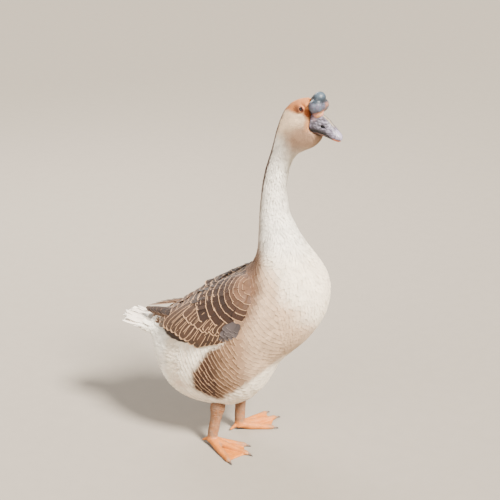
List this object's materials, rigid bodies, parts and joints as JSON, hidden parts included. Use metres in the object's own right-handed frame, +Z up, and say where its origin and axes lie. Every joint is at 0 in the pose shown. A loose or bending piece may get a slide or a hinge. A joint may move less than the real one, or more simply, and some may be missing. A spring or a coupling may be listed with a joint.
{
  "type": "domestic knobbed goose",
  "caption": "Life-size model of a standing knobbed domestic goose, head turned a little, with a brown back, pale breast and belly, and a grey bill with a ball on its root.",
  "frame": {"origin": "on the floor, under the middle of the bird's bounding box", "axes": "+X the way the breast faces, +Y the bird's left, +Z up; the feet stand on z = 0"},
  "size_m": [0.505, 0.2512, 0.8154],
  "materials": {
    "plumage_pale": "matt feathers, cream to white",
    "plumage_brown": "matt feathers, brown with pale edges",
    "plumage_flank": "matt feathers, beige brown",
    "skin_orange": "dull scaly skin, dusty",
    "horn_claw": "dull horn",
    "horn_bill": "dull leathery horn, grey",
    "eye": "glossy, dark brown"
  },
  "bodies": {
    "root": {"neck_lower": "plumage_pale", "neck_upper": "plumage_pale", "head": "plumage_flank", "eye_right": "eye", "eye_left": "eye", "bill_upper": "horn_bill", "bill_lower": "horn_bill", "knob": "horn_bill", "trunk": "plumage_flank", "tail": "plumage_pale", "shank_right": "skin_orange", "foot_right": "skin_orange", "wing_right": "plumage_brown", "primaries_right": "plumage_brown", "claw_right_inner": "horn_claw", "claw_right_middle": "horn_claw", "claw_right_outer": "horn_claw", "shank_left": "skin_orange", "foot_left": "skin_orange", "wing_left": "plumage_brown", "primaries_left": "plumage_brown", "claw_left_inner": "horn_claw", "claw_left_middle": "horn_claw", "claw_left_outer": "horn_claw"}
  },
  "joints": []
}
